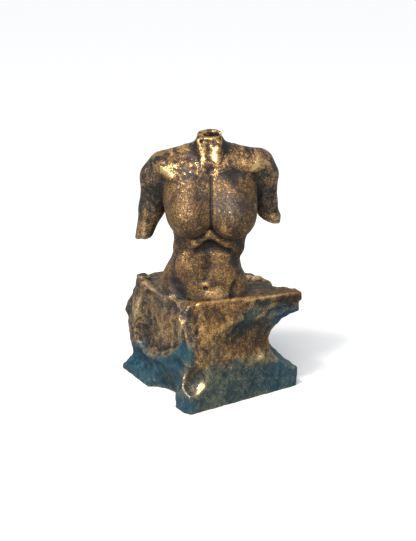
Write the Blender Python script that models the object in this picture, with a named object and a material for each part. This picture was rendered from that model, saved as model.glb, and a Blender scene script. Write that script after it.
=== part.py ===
"""Muse bust: a small cast bronze of a headless torso with broken arms, growing out of a rough anvil-like block.

The torso and its block are one casting, so the whole object is one solid. Its skin is the zero level of a
field of blended forms, because flesh and broken rock both run into each other with soft joins. The figure is
drawn on a canon of 126 parts to its height, measured from the block's top, and the block on a grid of 102
parts to its side and 80 to its height, so a form keeps its share when a driving size changes. Distances in
the field are metres. +Z is up and the figure faces -Y.
"""

import bmesh
import bpy
import numpy as np

# Driving sizes, in metres and degrees.
FIGURE_HEIGHT = 0.126  # from the flat of the block's top to the top of the neck
FIGURE_FORWARD = 0.016  # how far the figure's axis stands in front of the block's centre
NECK_BORE_DEPTH = 0.007  # the hollow in the broken neck
PLINTH_SIDE = 0.102  # the block's square foot
PLINTH_HEIGHT = 0.080  # from the ground to the flat of the block's top
PLINTH_TURN = 32.0  # how far the block is turned about the vertical, right side back
RIM_RISE = 0.004  # how far the broken rim stands above the flat of the top
DISH_DEPTH = 0.005  # how far the top is hollowed behind the rim
RIGHT_BITE = 0.0340  # how far the big scoop bites into the right of the front face
FRONT_BITE = 0.005  # how far the front's waist lies behind its foot
LEFT_BITE = 0.008  # depth of the broken recess in the left face

# How the skin is read off the field.
GRID_STEP = 0.0017
FACES = 9300

# One part of the figure's canon, and of the block's two grids.
FIGURE_PART = FIGURE_HEIGHT / 126
SIDE_PART = PLINTH_SIDE / 102
RISE_PART = PLINTH_HEIGHT / 80

# The trunk's level sections: height, middle, half width, depth in front, depth behind.
TRUNK = (
    (-14, -3.5, 30.0, 18.0, 20.0),
    (-3, -3.8, 35.0, 25.0, 24.0),
    (2, -3.8, 36.0, 26.5, 25.0),
    (12, -3.5, 32.8, 26.0, 22.0),
    (19, -3.5, 29.4, 24.0, 19.0),
    (27, -2.0, 26.4, 21.5, 17.0),
    (35, 0.0, 25.8, 21.0, 16.5),
    (46, 1.8, 27.8, 22.0, 18.0),
    (60, 1.6, 30.5, 22.5, 21.0),
    (75, 1.0, 33.5, 23.0, 23.5),
    (90, 0.5, 35.0, 20.0, 24.0),
    (102, 0.5, 31.0, 14.5, 19.5),
    (112, 1.0, 17.0, 10.5, 12.0),
)
TRUNK_SQUARENESS = 2.3


def length(x, y, z):
    return np.sqrt(x * x + y * y + z * z)


def smooth_union(a, b, blend):
    """The nearer of two forms, with a fillet about as wide as blend where they meet."""
    near = np.maximum(blend - np.abs(a - b), 0) / blend
    return np.minimum(a, b) - near * near * blend / 4


def smooth_cut(body, tool, blend):
    """The body with the tool's form taken out of it."""
    return -smooth_union(-body, tool, blend)


def smooth_step(value, low, high):
    share = np.clip((value - low) / (high - low), 0, 1)
    return share * share * (3 - 2 * share)


def ellipsoid(p, centre, radii):
    x, y, z = (p[i] - centre[i] for i in range(3))
    a, b, c = radii
    near = length(x / a, y / b, z / c)
    slope = length(x / a / a, y / b / b, z / c / c)
    return near * (near - 1) / np.maximum(slope, 1e-6)


def limb(p, start, end, start_radius, end_radius):
    """A round bar from start to end whose radius runs from one value to the other."""
    line = [end[i] - start[i] for i in range(3)]
    span = sum(v * v for v in line)
    along = np.clip(sum((p[i] - start[i]) * line[i] for i in range(3)) / span, 0, 1)
    off = [p[i] - start[i] - along * line[i] for i in range(3)]
    return length(*off) - (start_radius + along * (end_radius - start_radius))


def slab(p, point, normal):
    """Everything behind a plane, as a form."""
    size = sum(v * v for v in normal) ** 0.5
    return sum((p[i] - point[i]) * normal[i] for i in range(3)) / size


def rounded_box(p, centre, half, radius):
    away = [np.abs(p[i] - centre[i]) - half[i] + radius for i in range(3)]
    outside = length(*(np.maximum(a, 0) for a in away))
    inside = np.minimum(np.maximum(np.maximum(away[0], away[1]), away[2]), 0)
    return outside + inside - radius


def ripple(p, wave):
    """A gentle uneven swell between about -1 and 1, with the given wave length."""
    x, y, z = (c * (2 * np.pi / wave) for c in p)
    first = np.sin(x + 1.7 * np.sin(0.6 * y + 0.4)) * np.sin(y + 1.3 * np.sin(0.7 * z + 1.1))
    second = np.sin(1.9 * z + 1.2 * np.sin(1.1 * x)) * np.sin(1.7 * x - 1.1 * y + 0.8)
    return 0.6 * first + 0.4 * second


def trunk(p):
    x, y, z = p
    heights, middles, widths, fronts, backs = np.array(TRUNK).T
    middle = np.interp(z, heights, middles)
    width = np.interp(z, heights, widths)
    depth = np.where(y < 0, np.interp(z, heights, fronts), np.interp(z, heights, backs))
    off = np.abs(x - middle)
    power = TRUNK_SQUARENESS
    share = ((off / width) ** power + (np.abs(y) / depth) ** power) ** (1 / power)
    reach = np.sqrt(off * off + y * y)
    side = np.where(share > 0.05, reach * (1 - 1 / np.maximum(share, 0.05)), -width)
    return np.maximum(side, np.abs(z - 49) - 63)


def arms(p):
    left = limb(p, (-38.6, 3, 90.5), (-42.5, 4, 66), 11.3, 9.4)
    left = smooth_union(left, limb(p, (-42.5, 4, 66), (-50.6, 2, 39.4), 9.3, 5.6), 4)
    right = limb(p, (40.6, 4, 92.0), (43.2, 6, 70), 11.9, 8.9)
    right = smooth_union(right, limb(p, (43.4, 6, 70), (48.4, 6, 52), 8.9, 7.2), 3)
    left = smooth_cut(left, -slab(p, (-50, 2, 43), (0.1, 0.1, -1)), 1)
    right = smooth_cut(right, -slab(p, (44, 4, 57.2), (-0.34, 0.2, -1)), 1.5)
    for side, depth, height, size in ((-50.5, 0, 41.5, 3.2), (-46.5, 5, 42.5, 2.4), (-53.5, 5, 42, 2.2)):
        left = smooth_cut(left, ellipsoid(p, (side, depth, height), (size, size, size)), 1)
    right = smooth_union(right, ellipsoid(p, (51.6, 4, 59.4), (3.2, 5.5, 3.0)), 3)
    return left, right


def bosom(p):
    """The breasts, full up to the collar bones and pressed together, and how softly they join the chest."""
    z = p[2]
    forms = []
    for middle, top, low, size in ((-13.6, -13.8, 67.5, 16.2), (18.6, 17.2, 66.5, 16.4)):
        ball = ellipsoid(p, (middle, -23, low), (size, 17.8, size - 0.2))
        upper = ellipsoid(p, (top, -13.5, low + 13), (size + 1, 14.5, 19))
        forms.append(smooth_union(ball, upper, 13))
    between = 1.5 + 11 * smooth_step(z, 54, 66)
    return smooth_union(forms[0], forms[1], between), 2.0 + 8 * smooth_step(z, 58, 76)


def shoulders(p):
    girdle = limb(p, (1, 0, 101), (-33, 2, 98.5), 12.3, 11.3)
    girdle = smooth_union(girdle, limb(p, (-33, 2, 98.5), (-38.6, 3, 90.5), 11.3, 11.3), 3)
    girdle = smooth_union(girdle, limb(p, (1, 0, 101), (37, 2, 100), 12.3, 11.8), 3)
    girdle = smooth_union(girdle, limb(p, (37, 2, 100), (40.6, 4, 92), 11.8, 11.9), 3)
    nape = limb(p, (1, 4, 112), (-22, 3, 104), 8, 8)
    nape = smooth_union(nape, limb(p, (1, 4, 112), (24, 3, 104.6), 8, 8), 3)
    return smooth_union(girdle, nape, 7)


def neck(p):
    x, y, z = p
    share = smooth_step(z, 104, 124)
    width = 13.4 - 3.8 * share
    depth = 11.0 - 2.6 * share
    middle = 1.3 + 0.1 * share
    ring = np.sqrt(((x - middle) / width) ** 2 + (y / depth) ** 2)
    side = (ring - 1) * depth
    form = np.maximum(side, np.maximum(100 - z, slab(p, (1.4, 0, 124.0), (-0.03, -0.21, 1))))
    for start, end in (((-6.2, -8.0, 120), (-2.4, -12.5, 106)), ((7.6, -7.6, 118), (4.6, -12.5, 105))):
        form = smooth_union(form, limb(p, start, end, 2.4, 3.0), 3)
    notch = ellipsoid(p, (14.2, 0, 123.5), (4.2, 12, 3.4))
    return smooth_cut(form, notch, 1)


def front_of(side, height, lift):
    """A point on the trunk's front, raised from it by lift."""
    heights, middles, widths, fronts, _ = np.array(TRUNK).T
    share = abs(side - np.interp(height, heights, middles)) / np.interp(height, heights, widths)
    depth = np.interp(height, heights, fronts) * (1 - share**TRUNK_SQUARENESS) ** (1 / TRUNK_SQUARENESS)
    return side, -depth - lift, height


def belly(p, body):
    """The rib arch with the hollow under its peak, the stomach muscles, the navel and the groins."""
    for elbow, end in (((-9, 45.5), (-22, 38)), ((13.5, 44.5), (23, 38))):
        bend = front_of(*elbow, -2.2)
        body = smooth_union(body, limb(p, front_of(2.3, 54, -2.0), bend, 3.2, 3.0), 8)
        body = smooth_union(body, limb(p, bend, front_of(*end, -3.0), 3.0, 2.8), 8)
    for end in ((-8.0, 40), (15.0, 39)):
        hollow = limb(p, front_of(1.2, 44.0, 2.3), front_of(*end, 2.1), 3.0, 1.9)
        body = smooth_cut(body, hollow, 5)
    muscles = (
        (-13.0, 27, 11.5, 12.0, -1.3, 6),
        (8.8, 34.0, 7.2, 6.0, -1.4, 5),
        (10.5, 20.5, 9.5, 9.0, -1.7, 6),
    )
    for side, height, width, rise, lift, blend in muscles:
        body = smooth_union(body, ellipsoid(p, front_of(side, height, lift), (width, 5.0, rise)), blend)
    body = smooth_union(body, ellipsoid(p, front_of(5.0, 4.5, -4.8), (13, 7.6, 8.0)), 4)
    body = smooth_cut(body, limb(p, front_of(0.3, 40, 2.8), front_of(-1.9, 15, 3.2), 2.4, 2.4), 3)
    body = smooth_union(body, ellipsoid(p, front_of(-1.9, 14.0, -1.2), (3.6, 2.6, 2.2)), 2.5)
    for height, size in ((11.8, 1.9), (18.8, 1.3)):
        body = smooth_cut(body, ellipsoid(p, front_of(-1.9, height, 2.0), (size, 3.2, size)), 1.2)
    body = smooth_cut(body, limb(p, front_of(-27, 14, 2.6), front_of(-17, 1, 3.5), 2.8, 3.2), 5)
    return smooth_cut(body, limb(p, front_of(22, 13, 3.0), front_of(18, 1, 3.4), 2.4, 2.8), 4)


def back(p, body):
    """The spine's furrow, the shoulder blades and the top of the seat."""
    for side in (-1, 1):
        body = smooth_union(body, ellipsoid(p, (1 + side * 18, 17, 86), (12, 8, 17)), 8)
        body = smooth_union(body, ellipsoid(p, (-3 + side * 15, 15, 0), (15, 15, 14)), 7)
        body = smooth_union(body, ellipsoid(p, (side * 8, 12, 34), (7, 7.5, 24)), 5)
    return smooth_cut(body, limb(p, (-2, 25, 4), (1, 31, 96), 5.5, 7), 7)


def chest_marks(p, body):
    """Collar bones, the notch between them, the crease above the left breast and the right shoulder's dent."""
    body = smooth_union(body, limb(p, (-5, -12.5, 100.5), (-28, -9.6, 101), 3.2, 3.0), 8)
    body = smooth_union(body, limb(p, (-35, -7.6, 102.0), (-24, -12.4, 94.6), 3.6, 3.0), 6)
    body = smooth_union(body, limb(p, (8, -12.5, 100), (34, -7.5, 103), 3.2, 3.4), 9)
    body = smooth_cut(body, ellipsoid(p, (2.2, -18.8, 102.8), (2.0, 2.6, 2.4)), 3)
    body = smooth_cut(body, limb(p, (-7.5, -25.6, 98.6), (1.5, -26.0, 96.2), 1.3, 2.2), 2.5)
    body = smooth_cut(body, ellipsoid(p, (20.5, -23.5, 101.5), (7.0, 4.0, 7.0)), 6)
    line = np.exp(-(((p[0] - 2.4) / 1.25) ** 2))
    line = line * smooth_step(p[2], 55, 60) * (1 - smooth_step(p[2], 94, 98))
    return body + 0.9 * line * smooth_step(-p[1], 14, 20)


def figure_field(point):
    """The torso, in the figure's own parts: x across, y front to back, z up from the block's top."""
    x, y, z = point
    p = (x / FIGURE_PART, (y + FIGURE_FORWARD) / FIGURE_PART, (z - PLINTH_HEIGHT) / FIGURE_PART)
    body = trunk(p)
    body = smooth_union(body, shoulders(p), 6)
    body = back(p, body)
    body = belly(p, body)
    breasts, blend = bosom(p)
    body = smooth_union(body, breasts, blend)
    body = chest_marks(p, body)
    body = smooth_union(body, neck(p), 5)
    left, right = arms(p)
    body = smooth_union(body, left, 5)
    body = smooth_union(body, right, 2.5)
    for side, height in ((-4.6, 120.2), (-0.4, 117.4)):
        body = smooth_cut(body, ellipsoid(p, (side, -10.5, height), (1.5, 2.6, 1.4)), 0.8)
    return body * FIGURE_PART


def neck_bore(point):
    """The hollow that shows in the broken neck, open at the top."""
    top = PLINTH_HEIGHT + FIGURE_HEIGHT
    x = (point[0] - 3.0 * FIGURE_PART) / (6.6 * FIGURE_PART)
    y = (point[1] + FIGURE_FORWARD + 0.2 * FIGURE_PART) / (5.0 * FIGURE_PART)
    ring = (np.sqrt(x * x + y * y) - 1) * 5.0 * FIGURE_PART
    return np.maximum(ring, top - NECK_BORE_DEPTH - point[2])


def block_sides(q):
    body = rounded_box(q, (0, 0, 36), (51, 52, 47 + RIM_RISE / RISE_PART), 1.0)
    body = smooth_cut(body, ellipsoid(q, (62, -58, 39.5), (RIGHT_BITE / SIDE_PART, 70, 23.5)), 3)
    body = smooth_cut(body, ellipsoid(q, (31, -61, 45), (38, 17, 20)), 2.5)
    body = smooth_cut(body, ellipsoid(q, (66, 34, 36), (28, 48, 29)), 6)
    body = smooth_cut(body, ellipsoid(q, (61, 2, 80), (17, 44, 20)), 4)
    body = smooth_cut(body, ellipsoid(q, (60, 46, 88), (36, 44, 30)), 4)
    body = smooth_cut(body, ellipsoid(q, (2, 74 - FRONT_BITE / SIDE_PART, 42), (58, 27, 26)), 6)
    body = smooth_cut(body, ellipsoid(q, (0, 72, 78), (74, 27, 26)), 4)
    body = smooth_cut(body, ellipsoid(q, (4, -92 + FRONT_BITE / SIDE_PART, 54), (64, 40, 25)), 3)
    body = smooth_cut(body, ellipsoid(q, (40, -57, 57), (19, 11, 10)), 2)
    body = smooth_union(body, rounded_box(q, (38, -46.5, 76), (16, 5.2, 4.4), 1.0), 2)
    return smooth_cut(body, -slab(q, (0, -46, 84.5), (-0.12, -0.92, 0.36)), 1)


def broken_left(q, body):
    """The left face: a ragged recess over a ledge, a hollow foot and the waist of the far corner."""
    deep = LEFT_BITE / SIDE_PART
    recess = rounded_box(q, (-65 + deep, -5.8, 56), (14, 33.8, 29), 12)
    recess = np.maximum(recess, slab(q, (-50, 2, 30.5), (0, -0.24, -0.97)))
    recess = np.maximum(recess, slab(q, (-50, -18, 36.5), (0, -0.60, -0.80)))
    body = smooth_cut(body, recess, 1.6)
    body = smooth_cut(body, ellipsoid(q, (-49, -18, 76), (6.6, 9, 7)), 6)
    foot = ellipsoid(q, (-59, -13, 3), (21, 23, 20))
    foot = smooth_union(foot, ellipsoid(q, (-62, -14, 21), (17, 34, 10)), 9)
    foot = smooth_union(foot, ellipsoid(q, (-60, -39, 34), (13.5, 12, 13)), 6)
    foot = smooth_union(foot, ellipsoid(q, (-60, -34, 22), (13, 11, 9)), 6)
    body = smooth_cut(body, foot, 2)
    body = smooth_cut(body, ellipsoid(q, (-66, 22, 17), (22, 30, 15)), 4)
    body = smooth_cut(body, ellipsoid(q, (-50, 64, 84), (36, 25, 30)), 4)
    body = smooth_cut(body, ellipsoid(q, (-62, 46, 62), (16, 18, 30)), 3)
    body = smooth_cut(body, ellipsoid(q, (-56, 66, 27), (44, 27, 27)), 4)
    lumps = ((14, 27, 3.2), (5, 30, 3.6), (-4, 31, 3.0), (-15, 35, 4.4), (-24, 41, 3.2), (-34, 46, 3.6))
    for along, height, size in lumps:
        body = smooth_union(body, ellipsoid(q, (-45.8, along, height), (size, size + 2, size)), 3)
    return smooth_cut(body, -slab(q, (-43.5, 19, 84), (-0.94, 0.14, 0.31)), 1)


def near_corner(q, body):
    """The corner towards the viewer: a chamfered rim, a chipped corner, two grooves and a round scoop."""
    above = np.maximum(-slab(q, (-43.6, -4.4, 84), (-0.44, -0.11, 0.89)), -slab(q, (-44, -40, 84), (0, 1, 0)))
    body = smooth_cut(body, above, 1)
    body = smooth_cut(body, -slab(q, (-42, -46, 83.6), (-0.04, -0.10, 1)), 0.8)
    body = smooth_cut(body, limb(q, (-37.2, -43.4, 84), (-39.6, -49.6, 65), 2.4, 1.8), 2)
    body = smooth_cut(body, -slab(q, (-48, -52, 60), (-1, -0.45, 0)), 0.8)
    body = smooth_cut(body, limb(q, (-53.2, -46.4, 67), (-54.2, -47.4, 44), 3.8, 6.4), 0.8)
    body = smooth_cut(body, ellipsoid(q, (-58.3, -53.6, 87.9), (20, 20, 20)), 0.6)
    bowl = ellipsoid(q, (-45.5, -54, 26.5), (12.0, 10.8, 11.5))
    scoop = smooth_union(bowl, limb(q, (-50, -56, 28), (-48, -56, 42), 8, 5), 7)
    return smooth_cut(body, scoop, 0.8 + 5 * smooth_step(q[2], 26, 38))


def ragged_top(q, body):
    """The dished top, the bite in the right edge, and the rocks and the tile that stand on the rim."""
    floor = 80 - DISH_DEPTH / RISE_PART
    for side, depth, size in ((4, 4, 48), (-15, -16, 29)):
        body = smooth_cut(body, ellipsoid(q, (side, depth, floor + 14), (size, size, 14)), 1.2)
    body = smooth_cut(body, ellipsoid(q, (53, -28, 84), (13, 8, 12)), 3)
    body = smooth_cut(body, -slab(q, (10, -50, 82.5), (0.07, 0.02, 1)), 1.5)
    body = smooth_cut(body, -slab(q, (-20, 44, 80.2), (-0.02, 0.07, 1)), 1.5)
    rocks = (
        (42, -18, 76, 4.4, 4.4),
        (40, -10, 77, 6, 5),
        (36, -3, 76.5, 5, 4.6),
        (31, 4, 74.5, 6, 5),
        (25, 11, 73, 5, 4),
    )
    for side, depth, height, size, rise in rocks:
        body = smooth_union(body, ellipsoid(q, (side, depth, height), (size, size, rise)), 1.5)
    body = smooth_union(body, ellipsoid(q, (-43, 25, 80.5), (4, 7, 4.0)), 3)
    return smooth_union(body, rounded_box(q, (-38, 36, 79.5), (4.5, 4.5, 4.2), 1.2), 1.5)


def block_frame(point):
    turn = np.radians(PLINTH_TURN)
    across = np.cos(turn) * point[0] + np.sin(turn) * point[1]
    inward = np.cos(turn) * point[1] - np.sin(turn) * point[0]
    return across / SIDE_PART, inward / SIDE_PART, point[2] / RISE_PART


def block_field(point):
    """The block, in its own parts: along its front face, front to back, and up from the ground."""
    q = block_frame(point)
    body = block_sides(q)
    body = broken_left(q, body)
    body = ragged_top(q, body)
    body = near_corner(q, body)
    return (body + 0.4 * ripple(q, 17)) * min(SIDE_PART, RISE_PART)


def whole_field(point):
    body = smooth_union(figure_field(point), block_field(point), 0.0025)
    return smooth_cut(body, neck_bore(point), 0.0008)


def tetrahedra(shape):
    """The grid points of every tetrahedron, six to a cell, each with its corners in a right-handed order."""
    cells = np.indices([n - 1 for n in shape]).reshape(3, -1)
    for number, order in enumerate(((0, 1, 2), (1, 2, 0), (2, 0, 1), (0, 2, 1), (2, 1, 0), (1, 0, 2))):
        corner = cells.copy()
        corners = [np.ravel_multi_index(corner, shape)]
        for axis in order:
            corner[axis] += 1
            corners.append(np.ravel_multi_index(corner, shape))
        if number > 2:
            corners[1], corners[2] = corners[2], corners[1]
        yield np.array(corners)


def cut_edges(shape, values):
    """The skin's triangles, each corner written as the two grid points whose edge it lies on."""
    one_inside = ((0, 1, 2, 3), (1, 0, 3, 2), (2, 3, 0, 1), (3, 2, 1, 0))
    two_inside = ((0, 1, 2, 3), (0, 2, 3, 1), (0, 3, 1, 2), (1, 2, 0, 3), (1, 3, 2, 0), (2, 3, 0, 1))
    triangles = []
    for corners in tetrahedra(shape):
        inside = values[corners] < 0
        count = inside.sum(axis=0)
        for a, b, c, d in one_inside:
            lone = corners[:, (count == 1) & inside[a]]
            triangles.append(np.stack([lone[[a, b]], lone[[a, c]], lone[[a, d]]]))
            hole = corners[:, (count == 3) & ~inside[a]]
            triangles.append(np.stack([hole[[a, b]], hole[[a, d]], hole[[a, c]]]))
        for a, b, c, d in two_inside:
            pair = corners[:, (count == 2) & inside[a] & inside[b]]
            triangles.append(np.stack([pair[[a, c]], pair[[a, d]], pair[[b, d]]]))
            triangles.append(np.stack([pair[[a, c]], pair[[b, d]], pair[[b, c]]]))
    return np.concatenate(triangles, axis=2)


def skin(field, low, high, step):
    """A closed mesh of the field's zero level, as points and triangles."""
    axes = [np.arange(low[i], high[i] + step, step) for i in range(3)]
    shape = tuple(len(axis) for axis in axes)
    grid = np.stack([c.ravel() for c in np.meshgrid(*axes, indexing="ij")])
    values = field(grid)
    ends = np.sort(cut_edges(shape, values), axis=1)
    keys, corner = np.unique(ends[:, 0] * values.size + ends[:, 1], return_inverse=True)
    first, second = np.divmod(keys, values.size)
    share = np.clip(values[first] / (values[first] - values[second]), 0.02, 0.98)
    points = grid[:, first] + share * (grid[:, second] - grid[:, first])
    return points.T, corner.reshape(3, -1).T


def extent():
    """The box that the field is read in: a margin round the turned block and the figure."""
    margin = 3 * GRID_STEP
    reach = PLINTH_SIDE * 0.76 + margin
    width = max(reach, 60 * FIGURE_PART + margin)
    front = max(reach, FIGURE_FORWARD + 46 * FIGURE_PART + margin)
    rear = max(reach, 34 * FIGURE_PART + margin)
    return (-width, -front, -margin), (width, rear, PLINTH_HEIGHT + FIGURE_HEIGHT + margin)


def bronze():
    material = bpy.data.materials.new("bronze")
    material.use_nodes = True
    shader = material.node_tree.nodes["Principled BSDF"]
    shader.inputs["Base Color"].default_value = (0.19, 0.12, 0.06, 1)
    shader.inputs["Metallic"].default_value = 1.0
    shader.inputs["Roughness"].default_value = 0.42
    return material


def thinned(mesh, faces):
    """The mesh brought down to a number of triangles, as Blender's Decimate modifier does it."""
    rough = bpy.data.objects.new("rough_bust", mesh)
    bpy.context.collection.objects.link(rough)
    decimate = rough.modifiers.new("thin", "DECIMATE")
    decimate.ratio = faces / len(mesh.polygons)
    bpy.context.view_layer.update()
    seen = rough.evaluated_get(bpy.context.evaluated_depsgraph_get())
    thin = bpy.data.meshes.new_from_object(seen)
    bpy.data.objects.remove(rough)
    bpy.data.meshes.remove(mesh)
    return thin


def flat_foot(mesh):
    """Cuts the mesh off at the ground and closes it with a flat underside."""
    bm = bmesh.new()
    bm.from_mesh(mesh)
    whole = bm.verts[:] + bm.edges[:] + bm.faces[:]
    bmesh.ops.bisect_plane(bm, geom=whole, dist=1e-5, plane_co=(0, 0, 0), plane_no=(0, 0, 1), clear_inner=True)
    rim = [edge for edge in bm.edges if edge.is_boundary]
    bmesh.ops.triangle_fill(bm, use_beauty=True, use_dissolve=False, edges=rim)
    bmesh.ops.recalc_face_normals(bm, faces=bm.faces)
    bm.to_mesh(mesh)
    bm.free()


def muse_bust():
    points, triangles = skin(whole_field, *extent(), GRID_STEP)
    mesh = bpy.data.meshes.new("muse_bust")
    mesh.from_pydata(points.tolist(), [], triangles.tolist())
    mesh = thinned(mesh, FACES)
    flat_foot(mesh)
    mesh.name = "muse_bust"
    mesh.shade_smooth()
    mesh.set_sharp_from_angle(angle=np.radians(38))
    bust = bpy.data.objects.new("muse_bust", mesh)
    bust.data.materials.append(bronze())
    bpy.context.collection.objects.link(bust)
    return bust


def main():
    for old in list(bpy.data.objects):
        bpy.data.objects.remove(old)
    muse_bust()


main()
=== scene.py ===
"""Looks of the muse bust: the cast's skin with its fine relief, and its rubbed and darkened bronze with
painted highlights and painted shade in it.

The skin is read off the same field of blended forms as the CAD solid, on a finer grid, so it keeps that
solid's form and place. Metres, +Z up, and the figure faces -Y.
"""

import bpy
import numpy as np
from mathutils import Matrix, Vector, noise


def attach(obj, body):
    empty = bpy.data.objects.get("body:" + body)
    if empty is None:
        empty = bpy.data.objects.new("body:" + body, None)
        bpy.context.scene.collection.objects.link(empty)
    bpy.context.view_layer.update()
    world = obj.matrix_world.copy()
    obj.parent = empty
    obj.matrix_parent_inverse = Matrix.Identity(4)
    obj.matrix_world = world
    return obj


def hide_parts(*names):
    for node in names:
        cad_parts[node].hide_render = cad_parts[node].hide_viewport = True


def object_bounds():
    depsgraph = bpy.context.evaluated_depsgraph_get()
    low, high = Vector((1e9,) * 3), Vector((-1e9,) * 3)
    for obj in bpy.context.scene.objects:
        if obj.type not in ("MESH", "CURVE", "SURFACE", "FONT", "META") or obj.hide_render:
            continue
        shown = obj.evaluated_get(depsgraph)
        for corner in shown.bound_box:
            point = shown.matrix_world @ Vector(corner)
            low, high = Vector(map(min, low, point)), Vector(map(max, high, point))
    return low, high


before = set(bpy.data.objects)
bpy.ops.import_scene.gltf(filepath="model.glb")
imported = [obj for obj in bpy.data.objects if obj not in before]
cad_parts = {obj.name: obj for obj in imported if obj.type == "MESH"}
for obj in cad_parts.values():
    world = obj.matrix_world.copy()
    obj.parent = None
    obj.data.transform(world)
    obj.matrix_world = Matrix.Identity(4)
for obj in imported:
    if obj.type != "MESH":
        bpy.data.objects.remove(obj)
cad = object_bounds()

# Driving sizes, in metres and degrees.
FIGURE_HEIGHT = 0.126  # from the flat of the block's top to the top of the neck
FIGURE_FORWARD = 0.016  # how far the figure's axis stands in front of the block's centre
NECK_BORE_DEPTH = 0.007  # the hollow in the broken neck
PLINTH_SIDE = 0.102  # the block's square foot
PLINTH_HEIGHT = 0.080  # from the ground to the flat of the block's top
PLINTH_TURN = 32.0  # how far the block is turned about the vertical, right side back
RIM_RISE = 0.004  # how far the broken rim stands above the flat of the top
DISH_DEPTH = 0.005  # how far the top is hollowed behind the rim
RIGHT_BITE = 0.0340  # how far the big scoop bites into the right of the front face
FRONT_BITE = 0.005  # how far the front's waist lies behind its foot
LEFT_BITE = 0.008  # depth of the broken recess in the left face

# The fine skin: the grid, how near the coarse reading has to be, and the rounds of evening out.
GRID_STEP = 0.00107
NEAR_SKIN = 0.009
RELAX_ROUNDS = 3

# The cast's own unevenness: the flesh's slow swell, and the crumbs of the broken rock.
SWELL_WAVE = 0.0075
SWELL_DEPTH = 0.00010
SWELL_SINK = 0.0002  # how far the swell sinks the broken rock
CRUMB_WAVE = 0.0042
CRUMB_DEPTH = 0.00055
CRUMB_SHIFT = 0.3  # so that the crumbs don't follow the swell

# Wear: rounds of evening out, near and wide, and how far a point then stands out when fully proud.
NEAR_ROUNDS = 2
NEAR_PROUD = 0.00019
WIDE_ROUNDS = 25
WIDE_PROUD = 0.0011
MIDDLE_TONE = 0.45  # where nothing stands out

# The patina's wave lengths, how far its runs are drawn out, and the height of its bump.
PATCH_WAVE = 0.016
BROAD_WAVE = 0.010
MIDDLE_WAVE = 0.0030
FINE_WAVE = 0.0009
SPECK_WAVE = 0.0014
RUN_WAVE = 0.0052
RUN_STRETCH = 0.28
BUMP_HEIGHT = 0.0004

# The sockets of a Mix node that mixes colours.
MIX_FIRST = 6
MIX_SECOND = 7
MIX_RESULT = 2

# One part of the figure's canon, and of the block's two grids.
FIGURE_PART = FIGURE_HEIGHT / 126
SIDE_PART = PLINTH_SIDE / 102
RISE_PART = PLINTH_HEIGHT / 80

# The trunk's level sections: height, middle, half width, depth in front, depth behind.
TRUNK = (
    (-14, -3.5, 30.0, 18.0, 20.0),
    (-3, -3.8, 35.0, 25.0, 24.0),
    (2, -3.8, 36.0, 26.5, 25.0),
    (12, -3.5, 32.8, 26.0, 22.0),
    (19, -3.5, 29.4, 24.0, 19.0),
    (27, -2.0, 26.4, 21.5, 17.0),
    (35, 0.0, 25.8, 21.0, 16.5),
    (46, 1.8, 27.8, 22.0, 18.0),
    (60, 1.6, 30.5, 22.5, 21.0),
    (75, 1.0, 33.5, 23.0, 23.5),
    (90, 0.5, 35.0, 20.0, 24.0),
    (102, 0.5, 31.0, 14.5, 19.5),
    (112, 1.0, 17.0, 10.5, 12.0),
)
TRUNK_SQUARENESS = 2.3


def length(x, y, z):
    return np.sqrt(x * x + y * y + z * z)


def smooth_union(a, b, blend):
    """The nearer of two forms, with a fillet about as wide as blend where they meet."""
    near = np.maximum(blend - np.abs(a - b), 0) / blend
    return np.minimum(a, b) - near * near * blend / 4


def smooth_cut(body, tool, blend):
    """The body with the tool's form taken out of it."""
    return -smooth_union(-body, tool, blend)


def smooth_step(value, low, high):
    """0 up to low, 1 from high on, and an even rise between."""
    share = np.clip((value - low) / (high - low), 0, 1)
    return share * share * (3 - 2 * share)


def ellipsoid(p, centre, radii):
    """About how far a point lies outside an ellipsoid."""
    x, y, z = (p[i] - centre[i] for i in range(3))
    a, b, c = radii
    near = length(x / a, y / b, z / c)
    slope = length(x / a / a, y / b / b, z / c / c)
    return near * (near - 1) / np.maximum(slope, 1e-6)


def limb(p, start, end, start_radius, end_radius):
    """A round bar from start to end whose radius runs from one value to the other."""
    line = [end[i] - start[i] for i in range(3)]
    span = sum(v * v for v in line)
    along = np.clip(sum((p[i] - start[i]) * line[i] for i in range(3)) / span, 0, 1)
    off = [p[i] - start[i] - along * line[i] for i in range(3)]
    return length(*off) - (start_radius + along * (end_radius - start_radius))


def slab(p, point, normal):
    """Everything behind a plane, as a form."""
    size = sum(v * v for v in normal) ** 0.5
    return sum((p[i] - point[i]) * normal[i] for i in range(3)) / size


def rounded_box(p, centre, half, radius):
    """A box with rounded edges, from its centre and its half sides."""
    away = [np.abs(p[i] - centre[i]) - half[i] + radius for i in range(3)]
    outside = length(*(np.maximum(a, 0) for a in away))
    inside = np.minimum(np.maximum(np.maximum(away[0], away[1]), away[2]), 0)
    return outside + inside - radius


def ripple(p, wave):
    """A gentle uneven swell between about -1 and 1, with the given wave length."""
    x, y, z = (c * (2 * np.pi / wave) for c in p)
    first = np.sin(x + 1.7 * np.sin(0.6 * y + 0.4)) * np.sin(y + 1.3 * np.sin(0.7 * z + 1.1))
    second = np.sin(1.9 * z + 1.2 * np.sin(1.1 * x)) * np.sin(1.7 * x - 1.1 * y + 0.8)
    return 0.6 * first + 0.4 * second


def trunk(p):
    """The body between its level sections."""
    x, y, z = p
    heights, middles, widths, fronts, backs = np.array(TRUNK).T
    middle = np.interp(z, heights, middles)
    width = np.interp(z, heights, widths)
    depth = np.where(y < 0, np.interp(z, heights, fronts), np.interp(z, heights, backs))
    off = np.abs(x - middle)
    power = TRUNK_SQUARENESS
    share = ((off / width) ** power + (np.abs(y) / depth) ** power) ** (1 / power)
    reach = np.sqrt(off * off + y * y)
    side = np.where(share > 0.05, reach * (1 - 1 / np.maximum(share, 0.05)), -width)
    return np.maximum(side, np.abs(z - 49) - 63)


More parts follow.
